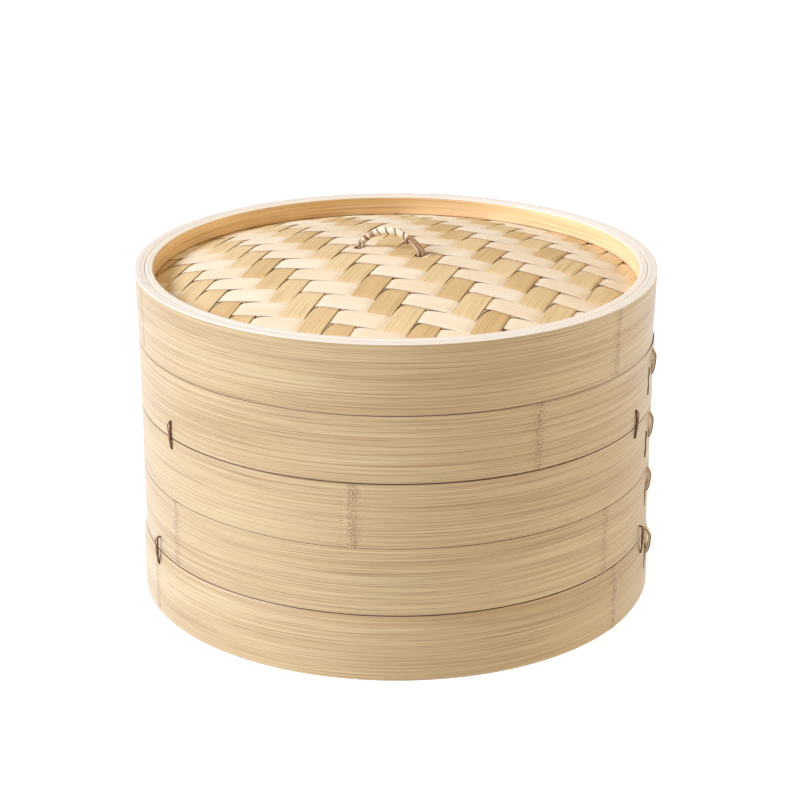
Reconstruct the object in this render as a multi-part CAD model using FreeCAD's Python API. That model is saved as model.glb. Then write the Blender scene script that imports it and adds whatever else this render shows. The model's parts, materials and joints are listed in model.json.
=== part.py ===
"""Two-tier bamboo steamer basket with a woven lid.

Millimetres and degrees. Z is up, the origin is the centre of the rim that the basket stands on,
and -Y is the front. Angles about Z are counted from the front, positive towards +X.
"""
import FreeCAD, Part
import math
import os

# Overall sizes
BAND_RADIUS = 127.0            # outside of every outer band
BAND_THICKNESS = 4.0           # outer band, a strip wound twice
WALL_THICKNESS = 3.7           # inner hoops
WALL_GAP = 0.1                 # between an inner hoop and the band around it
BAND_JOINT = 0.3               # between the two bands of one tier
EDGE_ROUND = 0.8               # rounded outer edges of the bands
LOWER_TIER_HEIGHT = 66.4
UPPER_TIER_HEIGHT = 64.5
LID_HEIGHT = 34.1
LID_FLARE = 0.9                # how much wider the lid is at its rim than at its joint
FOOT_EXTRA = 1.2               # by which the lowest band stands out from the others

# How the tiers and the lid stack
SPIGOT_HEIGHT = 8.5            # of each tier's wall above its upper band
SPIGOT_CLEARANCE = 0.5         # taken off the spigot's outer radius
SKIRT_DEPTH = 10.5             # free depth under each tier and the lid
SKIRT_RELIEF = 0.2             # added to the inner radius of that depth

# Floor of a tier, heights above the tier's lower edge
LOWER_BAND_SHARE = 0.493       # of the tier's height
LEDGE_TOP = 17.5               # top of the support ring and of the crossbars
LEDGE_THICKNESS = 5.9
CROSSBAR_WIDTH = 14.0
CROSSBAR_HEIGHT = 8.0
TENON_HEIGHT = 4.5             # of a crossbar's ends, which sit in notches in the support ring
FIT_GAP = 0.1                  # each side of a loose fit between fixed pieces
SLAT_COUNT = 11
SLAT_PITCH = 21.6
SLAT_WIDTH = 18.0
SLAT_THICKNESS = 3.0
FLOOR_RADIUS = 122.4           # ends of the slats and the crossbars
PIN_RADIUS = 1.1
PIN_LENGTH = 8.5
PIN_GAP = 0.03                 # around a pin in its hole

# Flat cane that ties and laces the bands
CANE_WIDTH = 2.4
CANE_THICKNESS = 1.3
CANE_BEND = 0.2                # inside corner radius of a cane loop
CANE_SLACK = 0.1               # around a loop in its holes, and between the loop and the band
TIE_BOTTOM = 25.2              # above the tier's lower edge
TIE_TOP = 41.4
EDGE_STITCH = (1.0, 14.0)      # ends of a seam's first stitch, below the band's top edge
LOWER_STITCH = (9.0, 23.5)     # the same for the second stitch
STITCH_SPACING = 4.0           # degrees between the two stitches of a seam

# Each tier's turn, the angle of its ties from its front and back, and where the seams lie
LOWER_TIER_TURN = 3.4
LOWER_TIER_TIE_ANGLE = 68.0
UPPER_TIER_TURN = 4.0
UPPER_TIER_TIE_ANGLE = 60.5
TIER_SEAM = 78.0
LID_SEAM = 172.0

# Woven lid
WEAVE_THICKNESS = 1.7          # of one woven layer
WEAVE_EDGE_BELOW_RIM = 10.0
WEAVE_RISE = 15.5
LINING_RISE = 10.0

# Handle, a loop of two cane strands that passes under the outer weave
HANDLE_X = -2.55
HANDLE_Y = -1.0
HANDLE_TURN = -26.0
HANDLE_SPAN = 32.8             # between the middles of the legs
HANDLE_RISE = 9.5              # middle of the crown above the weave
HANDLE_LEG_TOP = 4.5           # end of the straight legs, above the loop's lowest run
HANDLE_SHOULDER = 3.0          # radius of the arch at its shoulders
HANDLE_LOW_BEND = 2.6          # radius of the loop's corners under the weave
HANDLE_SWING = 30.0            # each way
STRAND_RADIUS = 0.8
STRAND_OFFSET = 0.83           # of each strand from the loop's middle line
WRAP_INNER_RADIUS = 1.68
WRAP_OUTER_RADIUS = 1.95
WRAP_ANGLES = (-49.0, 27.0)    # of the wrapping's ends, from the top of the crown
HANDLE_GAP = 0.3               # around the legs in their slots, and the anchors' play
RUN_GAP = 0.7                  # between the loop's lowest run and the weave over it
ANCHOR_LENGTH = 4.4            # of the stitches that bind the weave beside the handle
ANCHOR_OFFSET = 6.0            # from a leg's middle to its stitch's middle

# Derived sizes
BAND_INNER = BAND_RADIUS - BAND_THICKNESS
WALL_OUTER = BAND_INNER - WALL_GAP
WALL_INNER = WALL_OUTER - WALL_THICKNESS
LEDGE_INNER = WALL_OUTER - LEDGE_THICKNESS
SKIRT_RADIUS = BAND_INNER + SKIRT_RELIEF
FLOOR_TOP = LEDGE_TOP + SLAT_THICKNESS
LID_BASE = LOWER_TIER_HEIGHT + UPPER_TIER_HEIGHT
RIM_HEIGHT = LID_BASE + LID_HEIGHT
WEAVE_EDGE = RIM_HEIGHT - WEAVE_EDGE_BELOW_RIM
LINING_EDGE = WEAVE_EDGE - WEAVE_THICKNESS

ORIGIN = FreeCAD.Vector(0, 0, 0)
UP = FreeCAD.Vector(0, 0, 1)
parts = {}


def turned(shape, angle):
    """A copy of the shape, turned about Z."""
    copy = shape.copy()
    copy.rotate(ORIGIN, UP, angle)
    return copy


def centred_box(length, width, low, high, x=0.0, y=0.0):
    """A box with its middle at x, y and its faces along the axes."""
    corner = FreeCAD.Vector(x - length / 2, y - width / 2, low)
    return Part.makeBox(length, width, high - low, corner)


def disc(radius, low, high):
    return Part.makeCylinder(radius, high - low, FreeCAD.Vector(0, 0, low))


def ring(inner, outer, low, high):
    return disc(outer, low, high).cut(disc(inner, low, high))


def rounded(shape, radius, height, size):
    """The shape with its circular edges of this radius and height rounded over."""
    edges = []
    for edge in shape.Edges:
        if not isinstance(edge.Curve, Part.Circle):
            continue
        same_radius = abs(edge.Curve.Radius - radius) < 0.01
        same_height = abs(edge.Curve.Center.z - height) < 0.01
        if same_radius and same_height:
            edges.append(edge)
    return shape.makeFillet(size, edges)


def round_cornered(box, radius):
    """The box with its four edges along Y rounded."""
    edges = [edge for edge in box.Edges if abs(edge.tangentAt(edge.FirstParameter).y) > 0.9]
    return box.makeFillet(radius, edges)


def cane_frame(width, height):
    """A closed loop of flat cane in the XZ plane, measured over its outside."""
    outside = centred_box(width, CANE_WIDTH, -height / 2, height / 2)
    inner_width = width - 2 * CANE_THICKNESS
    inner_top = height / 2 - CANE_THICKNESS
    inside = centred_box(inner_width, CANE_WIDTH, -inner_top, inner_top)
    outside = round_cornered(outside, CANE_BEND + CANE_THICKNESS)
    return outside.cut(round_cornered(inside, CANE_BEND))


def at_wall(shape, radius, height, angle):
    """Places a shape made in the XZ plane on a radius of the basket, its X outwards."""
    placed = shape.copy()
    placed.translate(FreeCAD.Vector(radius, 0, height))
    return turned(placed, angle - 90)


def wall_loop(inner, outer, low, high, angle):
    """A cane loop in a radial plane that reaches from inner to outer and from low to high."""
    frame = cane_frame(outer - inner, high - low)
    return at_wall(frame, (inner + outer) / 2, (low + high) / 2, angle)


def wall_loop_holes(low, high, angle):
    """Cutters for the two holes that a loop's legs need through the wall."""
    size = CANE_THICKNESS + 2 * CANE_SLACK
    width = CANE_WIDTH + 2 * CANE_SLACK
    reach = 3 * BAND_THICKNESS
    hole = centred_box(reach, width, -size / 2, size / 2)
    holes = []
    for height in (low + CANE_THICKNESS / 2, high - CANE_THICKNESS / 2):
        holes.append(at_wall(hole, BAND_INNER, height, angle))
    return holes


def tie_loop(low, high, angle, extra):
    """A tie goes round the whole wall, band and inner hoop together."""
    inner = WALL_INNER - CANE_THICKNESS - CANE_SLACK
    outer = BAND_RADIUS + extra + CANE_THICKNESS + CANE_SLACK
    return wall_loop(inner, outer, low, high, angle)


def stitch_loop(low, high, angle, flare=0.0):
    """A seam stitch goes round the band only, with its back in a groove."""
    inner = BAND_INNER + CANE_SLACK
    outer = BAND_RADIUS + flare + CANE_THICKNESS + CANE_SLACK
    return wall_loop(inner, outer, low, high, angle)


def stitch_groove(low, high, angle):
    depth = CANE_THICKNESS + 2 * CANE_SLACK
    width = CANE_WIDTH + 2 * CANE_SLACK
    height = high - low + 2 * CANE_SLACK
    groove = centred_box(2 * depth, width, -height / 2, height / 2)
    return at_wall(groove, BAND_INNER, (low + high) / 2, angle)


def seam_spans(top, seam):
    """Each stitch of a band's seam as its lower end, its upper end and its angle."""
    first = (top - EDGE_STITCH[1], top - EDGE_STITCH[0], seam)
    second = (top - LOWER_STITCH[1], top - LOWER_STITCH[0], seam - STITCH_SPACING)
    return (first, second)


def band(low, high, seam, skirted, ties=(), flare=0.0, extra=0.0):
    """An outer band with its seam holes, and its skirt's relief if it has one."""
    outer = BAND_RADIUS + extra
    shape = disc(outer, low, high)
    if flare:
        foot = FreeCAD.Vector(0, 0, low)
        shape = Part.makeCone(outer, outer + flare, high - low, foot)
    shape = shape.cut(disc(BAND_INNER, low, high))
    shape = rounded(shape, outer, low, EDGE_ROUND)
    shape = rounded(shape, outer + flare, high, EDGE_ROUND)
    if skirted:
        shape = shape.cut(disc(SKIRT_RADIUS, low, low + SKIRT_DEPTH))
    for span in seam_spans(high, seam):
        shape = shape.cut(wall_loop_holes(*span))
        shape = shape.cut(stitch_groove(*span))
    for span in ties:
        shape = shape.cut(wall_loop_holes(*span))
    return shape


def tier_wall(base, height, ties):
    """The inner hoop: it clamps the slats, and stands above the upper band as a spigot."""
    top = base + height
    spigot_top = top + SPIGOT_HEIGHT
    spigot_radius = WALL_OUTER - SPIGOT_CLEARANCE
    lower = disc(WALL_OUTER, base + FLOOR_TOP, top)
    upper = disc(spigot_radius, top, spigot_top)
    shape = lower.fuse(upper).cut(disc(WALL_INNER, base, spigot_top))
    shape = rounded(shape, spigot_radius, spigot_top, EDGE_ROUND)
    for span in ties:
        shape = shape.cut(wall_loop_holes(*span))
    return shape


def crossbar(base, offset, side):
    """A bar across the tier with a tenon at each end, under the slats."""
    top = base + LEDGE_TOP
    length = 2 * FLOOR_RADIUS
    middle = centred_box(length, CROSSBAR_WIDTH, top - CROSSBAR_HEIGHT, top, y=side * offset)
    middle = middle.common(disc(LEDGE_INNER - FIT_GAP, top - CROSSBAR_HEIGHT, top))
    tenons = centred_box(length, CROSSBAR_WIDTH, top - TENON_HEIGHT, top, y=side * offset)
    tenons = tenons.common(disc(FLOOR_RADIUS, top - TENON_HEIGHT, top))
    return middle.fuse(tenons).removeSplitter()


def support_ring(base, offset):
    """The short hoop that carries the floor, notched for the crossbars' tenons."""
    top = base + LEDGE_TOP
    shape = ring(LEDGE_INNER, WALL_OUTER, base + SKIRT_DEPTH, top)
    notch_bottom = top - TENON_HEIGHT - FIT_GAP
    for side in (-1, 1):
        width = CROSSBAR_WIDTH + 2 * FIT_GAP
        notch = centred_box(2 * BAND_RADIUS, width, notch_bottom, top, y=side * offset)
        shape = shape.cut(notch)
    return shape


def slat_places():
    middle = (SLAT_COUNT - 1) / 2
    return [(index - middle) * SLAT_PITCH for index in range(SLAT_COUNT)]


def slat(base, x):
    low = base + LEDGE_TOP
    high = base + FLOOR_TOP
    strip = centred_box(SLAT_WIDTH, 2 * FLOOR_RADIUS, low, high, x=x)
    return strip.common(disc(FLOOR_RADIUS, low, high))


def pin_places(offset):
    """Where a slat crosses a crossbar with room for a pin."""
    places = []
    for x in slat_places():
        if math.hypot(x, offset) < LEDGE_INNER - CROSSBAR_WIDTH / 2:
            places.append((x, -offset))
            places.append((x, offset))
    return places


def make_tier(name, base, height, turn, tie_angle, extra=0.0):
    """All the pieces of one tier. Its ties sit over its crossbars' ends.

    extra is how far its lower band stands out from the other bands.
    """
    crossbar_offset = BAND_RADIUS * math.cos(math.radians(tie_angle))
    split = base + height * LOWER_BAND_SHARE
    top = base + height
    tie_angles = [turn + side + way * tie_angle for side in (0, 180) for way in (-1, 1)]
    ties = [(base + TIE_BOTTOM, base + TIE_TOP, angle) for angle in tie_angles]
    lower_top = split - BAND_JOINT / 2
    upper_bottom = split + BAND_JOINT / 2
    parts[name + "_lower_band"] = band(base, lower_top, TIER_SEAM, True, ties, extra=extra)
    parts[name + "_upper_band"] = band(upper_bottom, top, TIER_SEAM, False, ties)
    parts[name + "_wall"] = tier_wall(base, height, ties)
    parts[name + "_support_ring"] = turned(support_ring(base, crossbar_offset), turn)

    pins = []
    pin_holes = []
    for x, y in pin_places(crossbar_offset):
        foot = FreeCAD.Vector(x, y, base + FLOOR_TOP - PIN_LENGTH)
        pins.append(Part.makeCylinder(PIN_RADIUS, PIN_LENGTH, foot))
        pin_holes.append(Part.makeCylinder(PIN_RADIUS + PIN_GAP, PIN_LENGTH, foot))
    for place, side in (("front", -1), ("back", 1)):
        bar = crossbar(base, crossbar_offset, side).cut(pin_holes)
        parts[name + "_crossbar_" + place] = turned(bar, turn)
    for number, x in enumerate(slat_places(), start=1):
        strip = slat(base, x).cut(pin_holes)
        parts["%s_slat_%02d" % (name, number)] = turned(strip, turn)
    parts[name + "_slat_pins"] = turned(Part.makeCompound(pins), turn)

    parts[name + "_wall_ties"] = Part.makeCompound([tie_loop(*span, extra) for span in ties])
    stitches = []
    for band_top, stands_out in ((lower_top, extra), (top, 0.0)):
        for span in seam_spans(band_top, TIER_SEAM):
            stitches.append(stitch_loop(*span, flare=stands_out))
    parts[name + "_seam_lacing"] = Part.makeCompound(stitches)


def dome(edge, rise):
    """A woven layer: a shallow dome with a flat edge that the hoops clamp."""
    half = WALL_INNER / 2
    dome_radius = (WALL_INNER ** 2 + rise ** 2) / (2 * rise)
    half_height = edge + rise - dome_radius + math.sqrt(dome_radius ** 2 - half ** 2)
    points = []
    for drop in (0, WEAVE_THICKNESS):
        crown = FreeCAD.Vector(0, 0, edge + rise - drop)
        middle = FreeCAD.Vector(half, 0, half_height - drop)
        rim = FreeCAD.Vector(WALL_INNER, 0, edge - drop)
        clamped = FreeCAD.Vector(WALL_OUTER, 0, edge - drop)
        points.append((crown, middle, rim, clamped))
    top, bottom = points
    outline = Part.Wire([
        Part.Arc(top[0], top[1], top[2]).toShape(),
        Part.LineSegment(top[2], top[3]).toShape(),
        Part.LineSegment(top[3], bottom[3]).toShape(),
        Part.LineSegment(bottom[3], bottom[2]).toShape(),
        Part.Arc(bottom[2], bottom[1], bottom[0]).toShape(),
        Part.LineSegment(bottom[0], top[0]).toShape(),
    ])
    return Part.Face(outline).revolve(ORIGIN, UP, 360)


def weave_height(radius):
    """The top of the outer weave at this distance from the middle."""
    dome_radius = (WALL_INNER ** 2 + WEAVE_RISE ** 2) / (2 * WEAVE_RISE)
    return WEAVE_EDGE + WEAVE_RISE - dome_radius + math.sqrt(dome_radius ** 2 - radius ** 2)


def at_handle(shape, height):
    """Places a shape made about the origin, with the handle's length along X."""
    placed = turned(shape, HANDLE_TURN)
    placed.translate(FreeCAD.Vector(HANDLE_X, HANDLE_Y, height))
    return placed


def arch_geometry(offset):
    """The three arcs of the handle's arch, offset outwards: span, rise, shoulder and crown."""
    depth = weave_height(0) - low_run_height()
    rise = HANDLE_RISE + depth - HANDLE_LEG_TOP
    half_span = HANDLE_SPAN / 2
    numerator = half_span ** 2 + rise ** 2 - 2 * half_span * HANDLE_SHOULDER
    crown = numerator / (2 * (rise - HANDLE_SHOULDER))
    crown_centre = HANDLE_LEG_TOP + rise - crown
    return half_span, crown_centre, crown + offset, HANDLE_SHOULDER + offset


def low_run_height():
    """The middle of the loop's lowest run, which lies under the outer weave."""
    under_weave = weave_height(HANDLE_SPAN / 2) - WEAVE_THICKNESS
    return under_weave - RUN_GAP - STRAND_OFFSET - STRAND_RADIUS


def hinge_height():
    """The loop turns about the outer strand's lowest run."""
    return low_run_height() - STRAND_OFFSET


def arch_points(offset):
    """Right half of the arch: leg top, shoulder's middle, tangent point and crown's top."""
    half_span, crown_centre, crown, shoulder = arch_geometry(offset)
    shoulder_x = half_span - HANDLE_SHOULDER
    slope = math.atan2(HANDLE_LEG_TOP - crown_centre, shoulder_x)
    middle = slope / 2
    leg_top = (half_span + offset, HANDLE_LEG_TOP)
    bend = (shoulder_x + shoulder * math.cos(middle), HANDLE_LEG_TOP + shoulder * math.sin(middle))
    tangent = (crown * math.cos(slope), crown_centre + crown * math.sin(slope))
    return leg_top, bend, tangent, (0.0, crown_centre + crown)


def strand(offset):
    """One closed strand of the handle: an arch, two legs and the run under the weave."""
    leg_top, bend, tangent, top = arch_points(offset)
    low = -offset
    corner = HANDLE_LOW_BEND + offset
    diagonal = corner * (1 - math.sqrt(0.5))
    leg = leg_top[0]

    def point(x, z):
        return FreeCAD.Vector(x, 0, z)

    def arc(*places):
        return Part.Arc(*[point(*place) for place in places]).toShape()

    def line(start, end):
        return Part.LineSegment(point(*start), point(*end)).toShape()

    def left(place):
        return (-place[0], place[1])

    low_bend = ((leg - corner, low), (leg - diagonal, low + diagonal), (leg, low + corner))
    path = Part.Wire([
        line(left(low_bend[0]), low_bend[0]),
        arc(*low_bend),
        line(low_bend[2], leg_top),
        arc(leg_top, bend, tangent),
        arc(tangent, top, left(tangent)),
        arc(left(tangent), left(bend), left(leg_top)),
        line(left(leg_top), left(low_bend[2])),
        arc(left(low_bend[2]), left(low_bend[1]), left(low_bend[0])),
    ])
    start = point(corner - leg, low)
    section = Part.Circle(start, FreeCAD.Vector(1, 0, 0), STRAND_RADIUS).toShape()
    return path.makePipeShell([Part.Wire([section])], True, False)


def wrapping():
    """The sleeve of fine cane wound round both strands, from above the left leg to past the crown."""
    crown_centre, crown = arch_geometry(0)[1:3]
    places = []
    for angle in (WRAP_ANGLES[0], sum(WRAP_ANGLES) / 2, WRAP_ANGLES[1]):
        turn = math.radians(angle)
        places.append(FreeCAD.Vector(crown * math.sin(turn), 0, crown_centre + crown * math.cos(turn)))
    path = Part.Wire([Part.Arc(*places).toShape()])
    slope = math.radians(WRAP_ANGLES[0])
    along = FreeCAD.Vector(math.cos(slope), 0, -math.sin(slope))
    tubes = []
    for radius in (WRAP_OUTER_RADIUS, WRAP_INNER_RADIUS):
        section = Part.Wire([Part.Circle(places[0], along, radius).toShape()])
        tubes.append(path.makePipeShell([section], True, False))
    return tubes[0].cut(tubes[1])


def handle_slots():
    """Cutters for the slots that the handle's legs swing in."""
    height = weave_height(0)
    depth = height - hinge_height()
    lean = math.radians(HANDLE_SWING)
    half_width = depth * math.tan(lean) + STRAND_RADIUS / math.cos(lean) + HANDLE_GAP
    half_length = STRAND_OFFSET + STRAND_RADIUS + HANDLE_GAP
    slots = []
    for side in (-1, 1):
        x = side * HANDLE_SPAN / 2
        slot = centred_box(2 * half_length, 2 * half_width, -2 * WEAVE_THICKNESS, WEAVE_THICKNESS, x=x)
        slots.append(at_handle(slot, height))
    return slots


def anchor_stitches():
    """The stitches beside the handle's legs, and the holes for them in the outer weave."""
    stitches = []
    holes = []
    for side in (-1, 1):
        x = side * (HANDLE_SPAN / 2 + ANCHOR_OFFSET)
        angle = math.radians(HANDLE_TURN)
        radius = math.hypot(HANDLE_X + x * math.cos(angle), HANDLE_Y + x * math.sin(angle))
        middle = weave_height(radius) - WEAVE_THICKNESS / 2
        stitch = cane_frame(ANCHOR_LENGTH, WEAVE_THICKNESS + 2 * (HANDLE_GAP + CANE_THICKNESS))
        stitch.translate(FreeCAD.Vector(x, 0, 0))
        stitches.append(at_handle(stitch, middle))
        for end in (-1, 1):
            hole_x = x + end * (ANCHOR_LENGTH - CANE_THICKNESS) / 2
            size = CANE_THICKNESS + 2 * CANE_SLACK
            width = CANE_WIDTH + 2 * CANE_SLACK
            hole = centred_box(size, width, -WEAVE_THICKNESS, WEAVE_THICKNESS, x=hole_x)
            holes.append(at_handle(hole, middle))
    return stitches, holes


def make_lid():
    """The lid: a band over two hoops, with the two woven layers clamped between them."""
    lid_spans = seam_spans(RIM_HEIGHT, LID_SEAM)
    parts["lid_band"] = band(LID_BASE, RIM_HEIGHT, LID_SEAM, True, flare=LID_FLARE)
    hoop_bottom = LID_BASE + SKIRT_DEPTH
    parts["lid_lower_hoop"] = ring(WALL_INNER, WALL_OUTER, hoop_bottom, LINING_EDGE - WEAVE_THICKNESS)
    parts["lid_upper_hoop"] = ring(WALL_INNER, WALL_OUTER, WEAVE_EDGE, RIM_HEIGHT)
    stitches = [stitch_loop(*span, flare=LID_FLARE) for span in lid_spans]
    parts["lid_seam_lacing"] = Part.makeCompound(stitches)
    anchors, anchor_holes = anchor_stitches()
    parts["lid_outer_weave"] = dome(WEAVE_EDGE, WEAVE_RISE).cut(handle_slots() + anchor_holes)
    parts["lid_inner_weave"] = dome(LINING_EDGE, LINING_RISE)
    parts["lid_handle_anchors"] = Part.makeCompound(anchors)


def make_handle():
    height = low_run_height()
    parts["handle_outer_strand"] = at_handle(strand(STRAND_OFFSET), height)
    parts["handle_inner_strand"] = at_handle(strand(-STRAND_OFFSET), height)
    parts["handle_wrapping"] = at_handle(wrapping(), height)


make_tier("lower_tier", 0.0, LOWER_TIER_HEIGHT, LOWER_TIER_TURN, LOWER_TIER_TIE_ANGLE, FOOT_EXTRA)
make_tier("upper_tier", LOWER_TIER_HEIGHT, UPPER_TIER_HEIGHT, UPPER_TIER_TURN, UPPER_TIER_TIE_ANGLE)
make_lid()
make_handle()

os.makedirs("parts", exist_ok=True)
for name, shape in parts.items():
    shape.exportStep("parts/%s.step" % name)
    print("%-28s %2d solid(s) %9.1f mm3 valid %s"
          % (name, len(shape.Solids), shape.Volume, shape.isValid()))
print("handle turns about a line", round(hinge_height(), 3), "above the base")
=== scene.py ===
"""The look of the bamboo steamer basket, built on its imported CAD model.

Shapes are worked out in millimetres and turned into metres when a mesh is made. Angles about Z are
counted from the front (-Y), positive towards +X.
"""
import json
import math
import random

import bmesh
import bpy
import numpy as np
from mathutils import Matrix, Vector


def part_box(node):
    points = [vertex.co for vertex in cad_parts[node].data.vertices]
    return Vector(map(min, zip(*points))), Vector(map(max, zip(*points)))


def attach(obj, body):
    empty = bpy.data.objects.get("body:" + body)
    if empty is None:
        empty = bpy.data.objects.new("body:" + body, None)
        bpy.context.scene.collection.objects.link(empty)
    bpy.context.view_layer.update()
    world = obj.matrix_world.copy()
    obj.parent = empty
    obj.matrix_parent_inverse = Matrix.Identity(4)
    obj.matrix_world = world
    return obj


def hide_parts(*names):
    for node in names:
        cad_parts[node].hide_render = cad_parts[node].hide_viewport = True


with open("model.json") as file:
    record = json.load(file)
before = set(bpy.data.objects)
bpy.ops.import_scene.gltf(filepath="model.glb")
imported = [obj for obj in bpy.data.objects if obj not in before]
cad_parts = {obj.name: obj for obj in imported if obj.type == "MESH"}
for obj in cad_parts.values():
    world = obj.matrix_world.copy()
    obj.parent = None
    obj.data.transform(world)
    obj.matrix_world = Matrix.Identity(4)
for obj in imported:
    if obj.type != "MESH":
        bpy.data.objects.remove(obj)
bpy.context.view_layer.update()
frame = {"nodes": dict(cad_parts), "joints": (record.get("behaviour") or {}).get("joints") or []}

MM = 0.001

# Wound bands and hoops
HOOP_THICKNESS = 3.7
RING_COLUMNS = 720
NODE_BULGE = 0.22              # height of a bamboo node's swelling
NODE_LENGTH = 2.4
UNEVENNESS = 0.10              # of a ring's outer face
EDGE_SAG = 0.10                # of a ring's upper edge, and how much that varies
EDGE_UNEVENNESS = 0.05
STRIP_END_STEP = 0.45          # how far a band's outer end stands over the turn below it
STRIP_END_LIFT = 0.8           # how far that end springs away from the band
STRIP_END_LENGTH = 45.0        # over which the two fade out
LAYER_GROOVE = 0.16
BAND_EDGE = 0.25
BAND_THICKNESS = 4.0
BAND_SHOULDER = 7.0            # over which the lowest band widens, from its upper edge down
SHOULDER_ROUNDING = 2.0
JOINT_SHADE_REACH = 0.6              # how far the painted shade of a joint reaches inwards over a band's edge
TIER_SEAM = 86.0
LID_SEAM = 172.0
SPIGOT_HEIGHT = 8.5
SPIGOT_CLEARANCE = 0.5
LEDGE_THICKNESS = 5.9

# Floor slats. The section runs round from one upper edge by way of the other
SLAT_COUNT = 11
SLAT_PITCH = 21.6
SLAT_ACROSS = (-9, -8.3, -4, 0, 4, 8.3, 9, 9, 8.5, -8.5, -9)
SLAT_THROUGH = (-0.7, 0, 0, 0, 0, 0, -0.7, -2.4, -3, -3, -2.4)
FLOOR_RADIUS = 122.3

# Places of the bamboo's nodes on each band
NODE_ANGLES = {
    "lid_band": (54, 171, -72),
    "upper_tier_upper_band": (31, 158, -105),
    "upper_tier_lower_band": (-9, 112, -128),
    "lower_tier_upper_band": (52, -56, 176),
    "lower_tier_lower_band": (56, -170, -66),
}

# Each tier's turn, and the angle of its ties from its own front and back
TIER_TURNS = {"lower_tier": 3.4, "upper_tier": 4.0}
TIE_ANGLES = {"lower_tier": 68.0, "upper_tier": 60.5}

# The two stitches of each seam: an angle, and two depths below the band's top edge
STITCHES = {
    "lower_tier": ((79.0, 0.4, 14.0), (76.0, 5.5, 19.5)),
    "upper_tier": ((78.0, 2.0, 16.0), (74.0, 9.0, 23.5)),
    "lid": ((172.0, 1.0, 14.0), (168.0, 9.0, 23.5)),
}

# The lid's weave: corner of one crossing, and the steps from column to column and row to row
WEAVE_CORNER = (-20.1, -18.1)
COLUMN_STEP = (11.65, -4.54)
ROW_STEP = (-4.32, -12.76)
PINCHED_SIDE = {True: -1, False: 1}     # the pinched edge of the columns, and of the rows
LINING_CORNER = (3.0, 5.0)
LINING_COLUMN_STEP = (17.0, -6.6)
LINING_ROW_STEP = (-6.6, -17.0)
STRIP_THICKNESS = 0.5
STRIP_SWING = 0.36             # of a strip's middle above and below the weave's middle
STRIP_GAP = 0.30
STRIP_PINCH = 0.9              # by which a strip narrows on one side where it comes out from under
STRIP_PINCH_LENGTH = 5.0
STRIP_HOLLOW_SHADE = 2.3             # width of the painted shade in the dark corner there
WEAVE_RADIUS = 121.6
DOME_RADIUS = 119.2
DOME_RISE = 15.5
LINING_RISE = 10.0
LAYER_THICKNESS = 1.7

# The slots in the weave that the handle's legs swing in, rounded oblongs
SLOT_HALF_WIDTH = 2.5
SLOT_HALF_LENGTH = 4.6

# The handle's loop
HANDLE_SPAN = 32.8
HANDLE_LEG = 5.33
HANDLE_TOP = 14.649
HANDLE_SHOULDER = 3.0
HANDLE_LOW_BEND = 2.6
STRAND_RADIUS = 0.86
STRAND_OFFSET = 0.83
STRAND_SPREAD = 0.35           # by which each strand moves apart on the right leg
WRAP_START = 7.0               # of the wrapping on the left leg, above the hinge
WRAP_END = 9.2                 # of the wrapping, right of the crown's top
WRAP_SAMPLES = 420
WRAP_BROWN_LENGTH = 7.0        # of its close brown turns
WRAP_CHANGE_LENGTH = 5.0       # over which they grow into the wide pale ones
WRAP_PITCH = 1.8               # of a brown turn, and how much longer a pale one is
WRAP_PITCH_GROWTH = 2.9
WRAP_RADIUS = 1.42
WRAP_DEPTH = 1.18              # of the wrapping across the strands, as a share of its radius

# Widths and thicknesses of the canes
TIE_CANE = (1.0, 0.7)
TIE_SIDE_CANE = (0.7, 0.55)
TIE_INSIDE_CANE = (2.0, 1.0)
STITCH_CANE = (2.6, 1.7)
OUTLINE_CANE = (0.5, 0.4)      # along both sides of an edge stitch
LOWER_STITCH_CANE = (0.8, 0.6)
ANCHOR_CANE = (0.9, 0.6)
LOOSE_CANE = (0.8, 0.7)
OUTLINE_OFFSET = 1.15
OUTLINE_LIFT = 0.55

# Studio. A sun has an azimuth, an elevation, a strength, a width in degrees, and a colour
SUNS = {
    "key": (-76, 32, 4.3, 30, (0.87, 1.03, 1.52)),
    "side": (92, 20, 1.25, 40, (1.0, 0.94, 0.84)),
    "overhead": (0, 88, 0.66, 60, (1, 1, 1)),
}
SKY_COLOUR = (1.0, 0.94, 0.84, 1.0)
SKY_STRENGTH = 0.22
FLOOR_GLOW = 0.84
FLOOR_HALF_SIZE = 9.0          # in metres

# The photograph's view, from about 1.1 m away
CAMERA_TARGET = (0, 0, 76.2)
CAMERA_DISTANCE = 1109.2
CAMERA_ELEVATION = 21.06       # how steeply it looks down
CAMERA_ROLL = -0.138
CAMERA_SHIFT = (0.0029, 0.0357)
CAMERA_LENS = 98.6085

FAR = 1e3                      # a distance at which a mark has no effect

# The handle's hinge, in millimetres: its middle, its line, the level way across, and the two feet
swing = next(joint for joint in frame["joints"] if joint["name"] == "handle_swing")
HINGE = np.array(swing["pos_m"]) / MM
HINGE_LINE = np.array(swing["axis"])
HINGE_SIDE = np.array([-HINGE_LINE[1], HINGE_LINE[0], 0])
FEET = (HINGE - HINGE_LINE * HANDLE_SPAN / 2, HINGE + HINGE_LINE * HANDLE_SPAN / 2)


def smoothstep(value):
    """0 to 1 with a soft start and end, and held beyond them."""
    value = np.clip(value, 0.0, 1.0)
    return value * value * (3 - 2 * value)


def around(angle):
    """The unit vector that points outwards at this angle from the front."""
    turn = math.radians(angle - 90)
    return np.array([math.cos(turn), math.sin(turn), 0.0])


def stacked(*values):
    """These values spread to one shape, as the parts of vectors."""
    return np.stack(np.broadcast_arrays(*values), axis=-1)


def squared_circle(count, power):
    """The cosines and the sines round a circle, pressed towards a square by a power below 1."""
    turn = np.linspace(0, 2 * math.pi, count, endpoint=False)
    return [np.sign(wave) * np.abs(wave) ** power for wave in (np.cos(turn), np.sin(turn))]


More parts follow.
